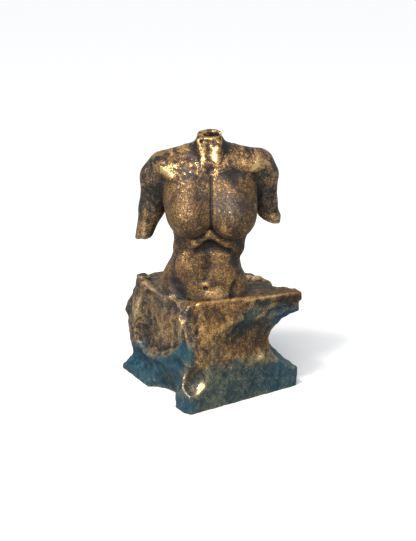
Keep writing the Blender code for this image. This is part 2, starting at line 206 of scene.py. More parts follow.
def arms(p):
    """The two upper arms with their broken ends, the left one longer."""
    left = limb(p, (-38.6, 3, 90.5), (-42.5, 4, 66), 11.3, 9.4)
    left = smooth_union(left, limb(p, (-42.5, 4, 66), (-50.6, 2, 39.4), 9.3, 5.6), 4)
    right = limb(p, (40.6, 4, 92.0), (43.2, 6, 70), 11.9, 8.9)
    right = smooth_union(right, limb(p, (43.4, 6, 70), (48.4, 6, 52), 8.9, 7.2), 3)
    left = smooth_cut(left, -slab(p, (-50, 2, 43), (0.1, 0.1, -1)), 1)
    right = smooth_cut(right, -slab(p, (44, 4, 57.2), (-0.34, 0.2, -1)), 1.5)
    for side, depth, height, size in ((-50.5, 0, 41.5, 3.2), (-46.5, 5, 42.5, 2.4), (-53.5, 5, 42, 2.2)):
        left = smooth_cut(left, ellipsoid(p, (side, depth, height), (size, size, size)), 1)
    right = smooth_union(right, ellipsoid(p, (51.6, 4, 59.4), (3.2, 5.5, 3.0)), 3)
    return left, right


def bosom(p):
    """The breasts, full up to the collar bones and pressed together, and how softly they join the chest."""
    z = p[2]
    forms = []
    for middle, top, low, size in ((-13.6, -13.8, 67.5, 16.2), (18.6, 17.2, 66.5, 16.4)):
        ball = ellipsoid(p, (middle, -23, low), (size, 17.8, size - 0.2))
        upper = ellipsoid(p, (top, -13.5, low + 13), (size + 1, 14.5, 19))
        forms.append(smooth_union(ball, upper, 13))
    between = 1.5 + 11 * smooth_step(z, 54, 66)
    return smooth_union(forms[0], forms[1], between), 2.0 + 8 * smooth_step(z, 58, 76)


def shoulders(p):
    """The shoulder girdle, and the slopes from the neck down to it."""
    girdle = limb(p, (1, 0, 101), (-33, 2, 98.5), 12.3, 11.3)
    girdle = smooth_union(girdle, limb(p, (-33, 2, 98.5), (-38.6, 3, 90.5), 11.3, 11.3), 3)
    girdle = smooth_union(girdle, limb(p, (1, 0, 101), (37, 2, 100), 12.3, 11.8), 3)
    girdle = smooth_union(girdle, limb(p, (37, 2, 100), (40.6, 4, 92), 11.8, 11.9), 3)
    nape = limb(p, (1, 4, 112), (-22, 3, 104), 8, 8)
    nape = smooth_union(nape, limb(p, (1, 4, 112), (24, 3, 104.6), 8, 8), 3)
    return smooth_union(girdle, nape, 7)


def neck(p):
    """The neck with its sloping top, the two cords at its front and the chip at its right."""
    x, y, z = p
    share = smooth_step(z, 104, 124)
    width = 13.4 - 3.8 * share
    depth = 11.0 - 2.6 * share
    middle = 1.3 + 0.1 * share
    ring = np.sqrt(((x - middle) / width) ** 2 + (y / depth) ** 2)
    side = (ring - 1) * depth
    form = np.maximum(side, np.maximum(100 - z, slab(p, (1.4, 0, 124.0), (-0.03, -0.21, 1))))
    for start, end in (((-6.2, -8.0, 120), (-2.4, -12.5, 106)), ((7.6, -7.6, 118), (4.6, -12.5, 105))):
        form = smooth_union(form, limb(p, start, end, 2.4, 3.0), 3)
    notch = ellipsoid(p, (14.2, 0, 123.5), (4.2, 12, 3.4))
    return smooth_cut(form, notch, 1)


def front_of(side, height, lift):
    """A point on the trunk's front, raised from it by lift."""
    heights, middles, widths, fronts, _ = np.array(TRUNK).T
    share = abs(side - np.interp(height, heights, middles)) / np.interp(height, heights, widths)
    depth = np.interp(height, heights, fronts) * (1 - share**TRUNK_SQUARENESS) ** (1 / TRUNK_SQUARENESS)
    return side, -depth - lift, height


def belly(p, body):
    """The rib arch with the hollow under its peak, the stomach muscles, the navel and the groins."""
    for elbow, end in (((-9, 45.5), (-22, 38)), ((13.5, 44.5), (23, 38))):
        bend = front_of(*elbow, -2.2)
        body = smooth_union(body, limb(p, front_of(2.3, 54, -2.0), bend, 3.2, 3.0), 8)
        body = smooth_union(body, limb(p, bend, front_of(*end, -3.0), 3.0, 2.8), 8)
    for end in ((-8.0, 40), (15.0, 39)):
        hollow = limb(p, front_of(1.2, 44.0, 2.3), front_of(*end, 2.1), 3.0, 1.9)
        body = smooth_cut(body, hollow, 5)
    muscles = (
        (-13.0, 27, 11.5, 12.0, -1.3, 6),
        (8.8, 34.0, 7.2, 6.0, -1.4, 5),
        (10.5, 20.5, 9.5, 9.0, -1.7, 6),
    )
    for side, height, width, rise, lift, blend in muscles:
        body = smooth_union(body, ellipsoid(p, front_of(side, height, lift), (width, 5.0, rise)), blend)
    body = smooth_union(body, ellipsoid(p, front_of(5.0, 4.5, -4.8), (13, 7.6, 8.0)), 4)
    body = smooth_cut(body, limb(p, front_of(0.3, 40, 2.8), front_of(-1.9, 15, 3.2), 2.4, 2.4), 3)
    body = smooth_union(body, ellipsoid(p, front_of(-1.9, 14.0, -1.2), (3.6, 2.6, 2.2)), 2.5)
    for height, size in ((11.8, 1.9), (18.8, 1.3)):
        body = smooth_cut(body, ellipsoid(p, front_of(-1.9, height, 2.0), (size, 3.2, size)), 1.2)
    body = smooth_cut(body, limb(p, front_of(-27, 14, 2.6), front_of(-17, 1, 3.5), 2.8, 3.2), 5)
    return smooth_cut(body, limb(p, front_of(22, 13, 3.0), front_of(18, 1, 3.4), 2.4, 2.8), 4)


def back(p, body):
    """The spine's furrow, the shoulder blades and the top of the seat."""
    for side in (-1, 1):
        body = smooth_union(body, ellipsoid(p, (1 + side * 18, 17, 86), (12, 8, 17)), 8)
        body = smooth_union(body, ellipsoid(p, (-3 + side * 15, 15, 0), (15, 15, 14)), 7)
        body = smooth_union(body, ellipsoid(p, (side * 8, 12, 34), (7, 7.5, 24)), 5)
    return smooth_cut(body, limb(p, (-2, 25, 4), (1, 31, 96), 5.5, 7), 7)


def chest_marks(p, body):
    """Collar bones with the notch, the crease and the dent by them, and the groove between the breasts."""
    body = smooth_union(body, limb(p, (-5, -12.5, 100.5), (-28, -9.6, 101), 3.2, 3.0), 8)
    body = smooth_union(body, limb(p, (-35, -7.6, 102.0), (-24, -12.4, 94.6), 3.6, 3.0), 6)
    body = smooth_union(body, limb(p, (8, -12.5, 100), (34, -7.5, 103), 3.2, 3.4), 9)
    body = smooth_cut(body, ellipsoid(p, (2.2, -18.8, 102.8), (2.0, 2.6, 2.4)), 3)
    body = smooth_cut(body, limb(p, (-7.5, -25.6, 98.6), (1.5, -26.0, 96.2), 1.3, 2.2), 2.5)
    body = smooth_cut(body, ellipsoid(p, (20.5, -23.5, 101.5), (7.0, 4.0, 7.0)), 6)
    line = np.exp(-(((p[0] - 2.4) / 1.25) ** 2))
    line = line * smooth_step(p[2], 55, 60) * (1 - smooth_step(p[2], 94, 98))
    return body + 0.9 * line * smooth_step(-p[1], 14, 20)


def figure_field(point):
    """The torso, in the figure's own parts: x across, y front to back, z up from the block's top."""
    x, y, z = point
    p = (x / FIGURE_PART, (y + FIGURE_FORWARD) / FIGURE_PART, (z - PLINTH_HEIGHT) / FIGURE_PART)
    body = trunk(p)
    body = smooth_union(body, shoulders(p), 6)
    body = back(p, body)
    body = belly(p, body)
    breasts, blend = bosom(p)
    body = smooth_union(body, breasts, blend)
    body = chest_marks(p, body)
    body = smooth_union(body, neck(p), 5)
    left, right = arms(p)
    body = smooth_union(body, left, 5)
    body = smooth_union(body, right, 2.5)
    for side, height in ((-4.6, 120.2), (-0.4, 117.4)):
        body = smooth_cut(body, ellipsoid(p, (side, -10.5, height), (1.5, 2.6, 1.4)), 0.8)
    return body * FIGURE_PART


def neck_bore(point):
    """The hollow that shows in the broken neck, open at the top."""
    top = PLINTH_HEIGHT + FIGURE_HEIGHT
    x = (point[0] - 3.0 * FIGURE_PART) / (6.6 * FIGURE_PART)
    y = (point[1] + FIGURE_FORWARD + 0.2 * FIGURE_PART) / (5.0 * FIGURE_PART)
    ring = (np.sqrt(x * x + y * y) - 1) * 5.0 * FIGURE_PART
    return np.maximum(ring, top - NECK_BORE_DEPTH - point[2])


def block_sides(q):
    """The block's box with the bite in its front, the flange above it and the hollow right and rear."""
    body = rounded_box(q, (0, 0, 36), (51, 52, 47 + RIM_RISE / RISE_PART), 1.0)
    body = smooth_cut(body, ellipsoid(q, (62, -58, 39.5), (RIGHT_BITE / SIDE_PART, 70, 23.5)), 3)
    body = smooth_cut(body, ellipsoid(q, (31, -61, 45), (38, 17, 20)), 2.5)
    body = smooth_cut(body, ellipsoid(q, (66, 34, 36), (28, 48, 29)), 6)
    body = smooth_cut(body, ellipsoid(q, (61, 2, 80), (17, 44, 20)), 4)
    body = smooth_cut(body, ellipsoid(q, (60, 46, 88), (36, 44, 30)), 4)
    body = smooth_cut(body, ellipsoid(q, (2, 74 - FRONT_BITE / SIDE_PART, 42), (58, 27, 26)), 6)
    body = smooth_cut(body, ellipsoid(q, (0, 72, 78), (74, 27, 26)), 4)
    body = smooth_cut(body, ellipsoid(q, (4, -92 + FRONT_BITE / SIDE_PART, 54), (64, 40, 25)), 3)
    body = smooth_cut(body, ellipsoid(q, (40, -57, 57), (19, 11, 10)), 2)
    body = smooth_union(body, rounded_box(q, (38, -46.5, 76), (16, 5.2, 4.4), 1.0), 2)
    return smooth_cut(body, -slab(q, (0, -46, 84.5), (-0.12, -0.92, 0.36)), 1)


def broken_left(q, body):
    """The left face: a ragged recess over a ledge, a hollow foot and the waist of the far corner."""
    deep = LEFT_BITE / SIDE_PART
    recess = rounded_box(q, (-65 + deep, -5.8, 56), (14, 33.8, 29), 12)
    recess = np.maximum(recess, slab(q, (-50, 2, 30.5), (0, -0.24, -0.97)))
    recess = np.maximum(recess, slab(q, (-50, -18, 36.5), (0, -0.60, -0.80)))
    body = smooth_cut(body, recess, 1.6)
    body = smooth_cut(body, ellipsoid(q, (-49, -18, 76), (6.6, 9, 7)), 6)
    foot = ellipsoid(q, (-59, -13, 3), (21, 23, 20))
    foot = smooth_union(foot, ellipsoid(q, (-62, -14, 21), (17, 34, 10)), 9)
    foot = smooth_union(foot, ellipsoid(q, (-60, -39, 34), (13.5, 12, 13)), 6)
    foot = smooth_union(foot, ellipsoid(q, (-60, -34, 22), (13, 11, 9)), 6)
    body = smooth_cut(body, foot, 2)
    body = smooth_cut(body, ellipsoid(q, (-66, 22, 17), (22, 30, 15)), 4)
    body = smooth_cut(body, ellipsoid(q, (-50, 64, 84), (36, 25, 30)), 4)
    body = smooth_cut(body, ellipsoid(q, (-62, 46, 62), (16, 18, 30)), 3)
    body = smooth_cut(body, ellipsoid(q, (-56, 66, 27), (44, 27, 27)), 4)
    lumps = ((14, 27, 3.2), (5, 30, 3.6), (-4, 31, 3.0), (-15, 35, 4.4), (-24, 41, 3.2), (-34, 46, 3.6))
    for along, height, size in lumps:
        body = smooth_union(body, ellipsoid(q, (-45.8, along, height), (size, size + 2, size)), 3)
    return smooth_cut(body, -slab(q, (-43.5, 19, 84), (-0.94, 0.14, 0.31)), 1)


def near_corner(q, body):
    """The corner towards the viewer: a chamfered rim, a chipped corner, two grooves and a round scoop."""
    above = np.maximum(-slab(q, (-43.6, -4.4, 84), (-0.44, -0.11, 0.89)), -slab(q, (-44, -40, 84), (0, 1, 0)))
    body = smooth_cut(body, above, 1)
    body = smooth_cut(body, -slab(q, (-42, -46, 83.6), (-0.04, -0.10, 1)), 0.8)
    body = smooth_cut(body, limb(q, (-37.2, -43.4, 84), (-39.6, -49.6, 65), 2.4, 1.8), 2)
    body = smooth_cut(body, -slab(q, (-48, -52, 60), (-1, -0.45, 0)), 0.8)
    body = smooth_cut(body, limb(q, (-53.2, -46.4, 67), (-54.2, -47.4, 44), 3.8, 6.4), 0.8)
    body = smooth_cut(body, ellipsoid(q, (-58.3, -53.6, 87.9), (20, 20, 20)), 0.6)
    bowl = ellipsoid(q, (-45.5, -54, 26.5), (12.0, 10.8, 11.5))
    scoop = smooth_union(bowl, limb(q, (-50, -56, 28), (-48, -56, 42), 8, 5), 7)
    return smooth_cut(body, scoop, 0.8 + 5 * smooth_step(q[2], 26, 38))


def ragged_top(q, body):
    """The dished top, the bite in the right edge, and the rocks and the tile that stand on the rim."""
    floor = 80 - DISH_DEPTH / RISE_PART
    for side, depth, size in ((4, 4, 48), (-15, -16, 29)):
        body = smooth_cut(body, ellipsoid(q, (side, depth, floor + 14), (size, size, 14)), 1.2)
    body = smooth_cut(body, ellipsoid(q, (53, -28, 84), (13, 8, 12)), 3)
    body = smooth_cut(body, -slab(q, (10, -50, 82.5), (0.07, 0.02, 1)), 1.5)
    body = smooth_cut(body, -slab(q, (-20, 44, 80.2), (-0.02, 0.07, 1)), 1.5)
    rocks = (
        (42, -18, 76, 4.4, 4.4),
        (40, -10, 77, 6, 5),
        (36, -3, 76.5, 5, 4.6),
        (31, 4, 74.5, 6, 5),
        (25, 11, 73, 5, 4),
    )
    for side, depth, height, size, rise in rocks:
        body = smooth_union(body, ellipsoid(q, (side, depth, height), (size, size, rise)), 1.5)
    body = smooth_union(body, ellipsoid(q, (-43, 25, 80.5), (4, 7, 4.0)), 3)
    return smooth_union(body, rounded_box(q, (-38, 36, 79.5), (4.5, 4.5, 4.2), 1.2), 1.5)


def block_frame(point):
    """The point in the block's own parts: along its front face, inward from it, and up."""
    turn = np.radians(PLINTH_TURN)
    across = np.cos(turn) * point[0] + np.sin(turn) * point[1]
    inward = np.cos(turn) * point[1] - np.sin(turn) * point[0]
    return across / SIDE_PART, inward / SIDE_PART, point[2] / RISE_PART


def block_field(point):
    """The block, in its own parts: along its front face, front to back, and up from the ground."""
    q = block_frame(point)
    body = block_sides(q)
    body = broken_left(q, body)
    body = ragged_top(q, body)
    body = near_corner(q, body)
    return (body + 0.4 * ripple(q, 17)) * min(SIDE_PART, RISE_PART)


def whole_field(point):
    """The torso and the block grown together, with the hollow in the neck."""
    body = smooth_union(figure_field(point), block_field(point), 0.0025)
    return smooth_cut(body, neck_bore(point), 0.0008)


def extent():
    """The box that the field is read in: a margin round the turned block and the figure."""
    margin = 3 * GRID_STEP
    reach = PLINTH_SIDE * 0.76 + margin
    width = max(reach, 60 * FIGURE_PART + margin)
    front = max(reach, FIGURE_FORWARD + 46 * FIGURE_PART + margin)
    rear = max(reach, 34 * FIGURE_PART + margin)
    return (-width, -front, -margin), (width, rear, PLINTH_HEIGHT + FIGURE_HEIGHT + margin)


def cast_field(point):
    """The whole form, cut off flat at the ground."""
    return np.maximum(whole_field(point), -point[2])


def field_grid(field, axes):
    """The field at every grid point, read only near the skin; the rest keeps the sign of a coarse reading."""
    coarse_step = 4
    shape = [len(axis) for axis in axes]
    coarse_axes = [axis[::coarse_step] for axis in axes]
    coarse = field(np.stack([c.ravel() for c in np.meshgrid(*coarse_axes, indexing="ij")]))
    coarse = coarse.reshape([len(axis) for axis in coarse_axes])
    for i in range(3):
        coarse = np.repeat(coarse, coarse_step, axis=i)
    values = coarse[: shape[0], : shape[1], : shape[2]].copy()
    near = np.nonzero(np.abs(values) < NEAR_SKIN)
    values[near] = field(np.stack([axes[i][near[i]] for i in range(3)]))
    return values


def net_points(values, cells):
    """One point in each cell that the skin crosses: the mean of the places where it cuts the cell's edges."""
    total = np.zeros(cells.shape)
    number = np.zeros(len(cells))
    for axis in range(3):
        along = np.eye(3, dtype=int)[axis]
        for first in (0, 1):
            for second in (0, 1):
                corner = cells + np.roll((0, first, second), axis)
                a = values[tuple(corner.T)]
                b = values[tuple((corner + along).T)]
                cut = (a < 0) != (b < 0)
                share = (a / np.where(cut, a - b, 1))[:, None]
                total += np.where(cut[:, None], corner + share * along, 0)
                number += cut
    return total / number[:, None]


def skin(field, low, high, step):
    """A net of four-sided faces over the field's zero level."""
    axes = [np.arange(low[i], high[i] + step, step) for i in range(3)]
    values = field_grid(field, axes)
    inside = values < 0
    count = np.zeros([n - 1 for n in values.shape], dtype=int)
    for i in (0, 1):
        for j in (0, 1):
            for k in (0, 1):
                count += inside[i : i - 1 or None, j : j - 1 or None, k : k - 1 or None]
    cells = np.argwhere((count > 0) & (count < 8))
    number = np.full(count.shape, -1)
    number[tuple(cells.T)] = np.arange(len(cells))
    points = np.array(low) + step * net_points(values, cells)
    quads = []
    around = ((0, 1, 1), (0, 0, 1), (0, 0, 0), (0, 1, 0))
    for axis in range(3):
        ahead = np.roll(inside, -1, axis=axis)
        edges = np.argwhere(inside != ahead)
        edges = edges[edges[:, axis] < values.shape[axis] - 1]
        ring = [edges - np.roll(step_back, axis) for step_back in around]
        faces = np.stack([number[tuple(corner.T)] for corner in ring], axis=1)
        leaving = inside[tuple(edges.T)]
        faces[~leaving] = faces[~leaving][:, ::-1]
        quads.append(faces)
    return points, np.concatenate(quads)


def slope(field, points, reach=0.0003):
    """The field at the points, and its direction of fastest growth there, of unit length."""
    value = field(points.T)
    grad = np.stack([field((points + reach * np.eye(3)[i]).T) - value for i in range(3)], axis=1) / reach
    size = np.linalg.norm(grad, axis=1)
    return value, grad / np.maximum(size, 1e-6)[:, None], np.maximum(size, 0.3)


def settled(field, points, quads, rounds):
    """Evens the net out along the skin and draws each point back onto the field's zero level."""
    edges = np.concatenate([quads[:, [i, (i + 1) % 4]] for i in range(4)])
    for _ in range(rounds):
        total = np.zeros(points.shape)
        number = np.zeros(len(points))
        np.add.at(total, edges[:, 0], points[edges[:, 1]])
        np.add.at(number, edges[:, 0], 1)
        points = 0.4 * points + 0.6 * total / number[:, None]
        value, outward, size = slope(field, points)
        back = np.clip(value / size, -GRID_STEP, GRID_STEP)
        points = points - back[:, None] * outward
    return points


def grain(points, wave, octaves=4):
    """Uneven noise between about -1 and 1 at each point, with the given wave length."""
    seeds = [noise.fractal(Vector(p), 1.0, 2.1, octaves) for p in (points / wave).tolist()]
    return np.clip(np.array(seeds), -1, 1)


def standing(points, quads, outward, rounds):
    """How far each point stands out of its evened surroundings, in metres; a hollow is negative."""
    edges = np.concatenate([quads[:, [i, (i + 1) % 4]] for i in range(4)])
    number = np.bincount(edges[:, 0], minlength=len(points))
    even = points
    for _ in range(rounds):
        beside = even[edges[:, 1]]
        total = [np.bincount(edges[:, 0], beside[:, i], len(points)) for i in range(3)]
        even = np.stack(total, axis=1) / number[:, None]
    return np.sum((points - even) * outward, axis=1)


def spot(points, centre, size):
    """1 at a place and fading to 0 at about its size."""
    away = np.linalg.norm(points - np.array(centre), axis=1) / size
    return np.exp(-away * away * 2)


def figure_place(side, depth, height):
    """A place on the figure's canon, in metres."""
    return side * FIGURE_PART, depth * FIGURE_PART - FIGURE_FORWARD, PLINTH_HEIGHT + height * FIGURE_PART


def block_place(across, inward, height):
    """A place on the block's grid, in metres."""
    turn = np.radians(PLINTH_TURN)
    u, v = across * SIDE_PART, inward * SIDE_PART
    return u * np.cos(turn) - v * np.sin(turn), u * np.sin(turn) + v * np.cos(turn), height * RISE_PART


def roughness_of_break(points):
    """How broken the surface is: 0 on the modelled flesh, up to 1 in the recess, on the rocks and behind."""
    across, inward, height = block_frame(points.T)
    low = 1 - smooth_step(height, 82, 90)
    recess = smooth_step(-across, 40, 43) * smooth_step(inward, -42, -38) * smooth_step(height, 28, 36)
    ledge = smooth_step(-across, 38, 42) * smooth_step(height, 22, 28) * (1 - smooth_step(height, 50, 58))
    bite = smooth_step(across, 2, 16) * smooth_step(height, 26, 36) * (1 - smooth_step(height, 74, 80))
    rear = smooth_step(inward, 10, 40)
    rocks = smooth_step(across, 14, 26) * smooth_step(inward, -26, -18) * smooth_step(height, 68, 74)
    face = 0.12 + 0 * across
    return low * np.clip(np.max([recess, 0.8 * ledge, 0.75 * bite, 0.9 * rear, rocks, face], axis=0), 0, 1)


def ridge(points, start, end, width):
    """1 along a line between two places and fading to 0 at about its width."""
    a, b = np.array(start), np.array(end)
    along = np.clip((points - a) @ (b - a) / np.sum((b - a) ** 2), 0, 1)
    away = np.linalg.norm(points - a - along[:, None] * (b - a), axis=1) / width
    return np.exp(-away * away * 2)


def relief(points, outward):
    """The cast's unevenness: a slow swell, crumbs on the broken rock, and the small pits and ridges."""
    broken = roughness_of_break(points)
    slow = grain(points, SWELL_WAVE, 3)
    crumb = grain(points + CRUMB_SHIFT, CRUMB_WAVE, 4)
    depth = SWELL_DEPTH * slow + broken * (CRUMB_DEPTH * crumb - SWELL_SINK * np.abs(slow))
    for place, size, deep in PITS:
        depth = depth - deep * spot(points, place, size)
    for start, end, width, rise in RIDGES:
        depth = depth + rise * ridge(points, start, end, width)
    clear_of_ground = smooth_step(points[:, 2], 0.0002, 0.002)
    return points + (depth * clear_of_ground)[:, None] * outward


def wear_and_painted_light(points, quads, outward):
    """How bright the bronze is at each point, from 0 for black patina to 1 for bright gold: rubbed where it
    stands out and dark in its hollows, with painted highlights and painted shade added from the lists of
    spots and lines.
    """
    near = np.clip(standing(points, quads, outward, NEAR_ROUNDS) / NEAR_PROUD, -1.2, 1.5)
    wide = np.clip(standing(points, quads, outward, WIDE_ROUNDS) / WIDE_PROUD, -1.3, 0.45)
    across, inward, height = block_frame(points.T)
    block = 1 - smooth_step(height, 81, 86)
    left = block * smooth_step(-across, 36, 46)
    # The block is painted a little lighter and its left face more so, as painted light; the back is darker.
    tone = MIDDLE_TONE + 0.11 * near + 0.08 * np.minimum(near, 0) + 0.12 * wide + 0.02 * block + 0.01 * left
    tone = tone - 0.10 * smooth_step(inward, 0, 30)
    for place, size, gain in RUBBED_AND_HIGHLIGHTS:
        tone = tone + gain * spot(points, place, size)
    for start, end, width, gain in STREAKS:
        tone = tone + gain * ridge(points, start, end, width)
    for place, size, loss in DARKENED:
        tone = tone - loss * spot(points, place, size)
    return np.clip(tone, 0, 1)


def verdigris_and_blue_reflection(points, uneven):
    """How blue-green the surface is: low on the block, in the left face's hollows and under the flange;
    partly patina and partly a painted reflection of blue from below on the low and downward-facing surfaces.
    """
    across, inward, height = block_frame(points.T)
    swell = 4.0 * ripple((across, inward, height), 23) + 6.0 * uneven
    left = smooth_step(-across, 40, 47)
    climb = 7 * smooth_step(-inward, -14, 18) + 24 * smooth_step(-inward, 16, 50)
    line = 30 - 2 * smooth_step(across, -10, 20) + left * (climb - 1)
    soft = 1 - 0.6 * np.maximum(left, smooth_step(across, -10, 20))
    low = 1 - smooth_step(height + swell * np.maximum(soft, 0.6), line - 10 * soft, line + 8 * soft)
    low = low * (1 - np.minimum(1.2 * spot(points, block_place(-43, -49, 25), 0.015), 0.95))
    strength = 0.70 + 0.30 * np.maximum(left, smooth_step(across, 10, 40))
    ragged = height + 0.6 * swell
    flange = smooth_step(across, 14, 34) * (1 - smooth_step(ragged, 66, 74)) * smooth_step(ragged, 47, 55)
    flange = flange * (1 - smooth_step(inward + 2 * swell, -24, 16))
    hollow = 0.7 * left * spot(points, block_place(-43, -3, 72), 0.009)
    return np.clip(np.max([strength * low, 0.9 * flange, hollow], axis=0), 0, 1)


def moss(points, uneven):
    """How green the patina is: in the bite under the flange, along the front's foot and left of the bite."""
    across, inward, height = block_frame(points.T)
    front = smooth_step(-inward, 40, 46) * smooth_step(across, -44, -38)
    bite = 0.95 * spot(points, block_place(-1, -50.5, 63), 0.011)
    bite = bite + 0.90 * spot(points, block_place(10, -52, 70), 0.011)
    bite = bite + 0.60 * spot(points, block_place(23, -52, 74), 0.008)
    foot = 0.75 * (1 - smooth_step(height + 7 * uneven, 28, 40)) * (1 - 0.7 * smooth_step(across, 0, 30))
    column = 0.45 * spot(points, block_place(-26, -51, 44), 0.014)
    return np.clip(front * np.max([bite, foot, column], axis=0), 0, 1)


def drip(points):
    """How far the patina has run down the surface: on the block alone."""
    return 1 - smooth_step(block_frame(points.T)[2], 78, 86)


def rust(points):
    """How brown the patina is: most on the block's front, much on the figure and in the left recess."""
    across, inward, height = block_frame(points.T)
    front = smooth_step(-inward, 30, 40) * smooth_step(height, 30, 40) * (1 - smooth_step(height, 84, 88))
    front = front * smooth_step(across, -44, -38) * (1 - 0.8 * spot(points, block_place(10, -46, 62), 0.014))
    figure = 0.85 * smooth_step(height, 84, 90) * (1 - 0.6 * spot(points, figure_place(17, -36, 78), 0.014))
    figure = figure * (1 - 0.4 * smooth_step(np.abs(points[:, 0]), 0.034, 0.040))
    recess = 0.75 * spot(points, block_place(-44, -10, 58), 0.026)
    return np.clip(np.max([0.30 + 0 * front, front, figure, recess], axis=0), 0, 1)


def mottle(points):
    """How blotchy the patina is: most on the shoulders, less on the arms and behind, least elsewhere."""
    _, inward, height = block_frame(points.T)
    sides = 0.4 * smooth_step(np.abs(points[:, 0]), 0.033, 0.040) * smooth_step(height, 120, 128)
    upper = np.maximum(smooth_step(height, 170, 182), sides)
    return 0.28 + 0.72 * np.maximum(upper, 0.5 * smooth_step(inward, 10, 30))


def placed(place, rows):
    """The rows with their places, given in parts, turned into metres."""
    return [[place(*cell) if isinstance(cell, tuple) else cell for cell in row] for row in rows]


# Small casting pits: place, size and depth.
PITS = placed(figure_place, (
    # The neck.
    ((-0.7, -8.5, 119.7), 0.0013, 0.0011),
    ((4.2, -10.1, 116.7), 0.0009, 0.0006),
    ((2.3, -11.8, 113.9), 0.0012, 0.0010),
    ((6.4, -13.2, 111.5), 0.0009, 0.0005),
    ((3.8, -15.2, 108.5), 0.0009, 0.0005),
    # The arms.
    ((-33, -13, 88), 0.0011, 0.0005),
    # The belly and hips.
    ((-2.0, -26.5, 22.8), 0.0011, 0.0007),
    ((-1.4, -27.0, 8.6), 0.0009, 0.0006),
)) + placed(block_place, (
    # The front.
    ((-27, -49, 60), 0.0012, 0.0008),
    ((6, -46, 47), 0.0014, 0.0010),
    ((17, -44, 44), 0.0016, 0.0012),
    ((12, -45, 38), 0.0022, 0.0015),
))
# Small raised and sunk lines: start, end, width and rise.
RIDGES = placed(figure_place, (
    # The arms.
    ((-46, -6, 70), (-49, -4, 46), 0.0022, 0.0005),
    # The belly and hips.
    ((-19, -20, 10), (-24, -19, 18), 0.0014, 0.0006),
)) + placed(block_place, (
    # The flange and the bite under it.
    ((48, -52, 76), (20, -51.5, 75), 0.0018, -0.0006),
    ((20, -51.5, 73.5), (8, -52, 69.5), 0.0015, 0.0007),
    ((4, -51, 72), (-6, -49, 57), 0.0020, -0.0010),
    ((22, -51.5, 70), (4, -51.5, 64), 0.0018, -0.0006),
    ((12, -52, 66), (0, -50, 57), 0.0015, 0.0007),
    ((-8, -48, 62), (-14, -50, 36), 0.0030, -0.0005),
    ((8, -49, 56), (-4, -48.5, 50), 0.0018, -0.0007),
    # The front.
    ((-30, -50, 74), (-33, -50, 40), 0.0024, -0.0004),
    ((24, -47, 46), (15, -48, 38), 0.0020, -0.0007),
    ((28, -49, 40), (17, -49.5, 32.5), 0.0022, 0.0010),
    ((17, -49.5, 32.5), (4, -51.5, 29), 0.0018, 0.0006),
))
# Brighter spots, partly bronze rubbed to gold and partly painted highlights and painted light on the neck,
# shoulders, breasts, rims, scoop and left face: place, size and gain.
RUBBED_AND_HIGHLIGHTS = placed(figure_place, (
    # The neck.
    ((-3.4, -13.5, 112), 0.0030, 0.14),
    ((5.6, -14.5, 109), 0.0036, 0.14),
    # The shoulders and upper chest.
    ((43, -9, 104), 0.0045, 0.12),
    ((34.5, -13, 102), 0.0030, 0.16),
    ((-34, -13, 101), 0.004, 0.08),
    ((-30.7, -15, 98.7), 0.0040, 0.08),
    ((-27, -17, 97), 0.0035, 0.08),
    ((-13, -16, 97), 0.005, 0.12),
    # The arms.
    ((-31, -15, 62), 0.004, 0.10),
    ((49, 2, 58), 0.005, 0.15),
    ((-48, 0, 50), 0.008, 0.08),
    # The breasts.
    ((12, -38, 62), 0.005, 0.25),
    ((-0.5, -26, 56), 0.0035, 0.45),
    # The belly and hips.
    ((8.8, -24, 34), 0.006, 0.05),
    ((-12.8, -24, 30), 0.009, 0.08),
    ((-23.4, -20, 12), 0.003, 0.30),
    ((5.5, -28, 6), 0.008, 0.24),
)) + placed(block_place, (
    # The top and its rim.
    ((-45, -37, 84), 0.003, 0.45),
    ((36, -8, 82), 0.008, 0.25),
    ((37, -9, 81), 0.0060, 0.12),
    ((17.3, -49.6, 80.8), 0.0018, 0.20),
    ((38, -12, 80), 0.012, 0.16),
    # The front.
    ((-25, -49, 58), 0.022, 0.10),
    ((-20, -48, 36), 0.016, 0.08),
    ((18, -49.5, 34), 0.006, 0.34),
    ((32, -50, 30), 0.006, 0.20),
    # The left face.
    ((-44, 14, 74), 0.016, 0.10),
    ((-47, 30, 66), 0.014, 0.20),
    ((-44, 24, 56), 0.012, 0.10),
    ((-44, -8, 55), 0.022, 0.10),
    # The foot.
    ((-43, -49, 25), 0.010, 0.14),
    ((-40, -48, 24), 0.010, 0.08),
    ((-36, -49, 20), 0.0040, 0.24),
    ((-47, -34, 14), 0.003, 0.35),
    ((-38, -47, 14), 0.0040, 0.30),
    ((-28, -50, 12), 0.016, 0.10),
    ((-46, -5, 10), 0.004, 0.30),
    ((-47, 5, 6), 0.003, 0.35),
))
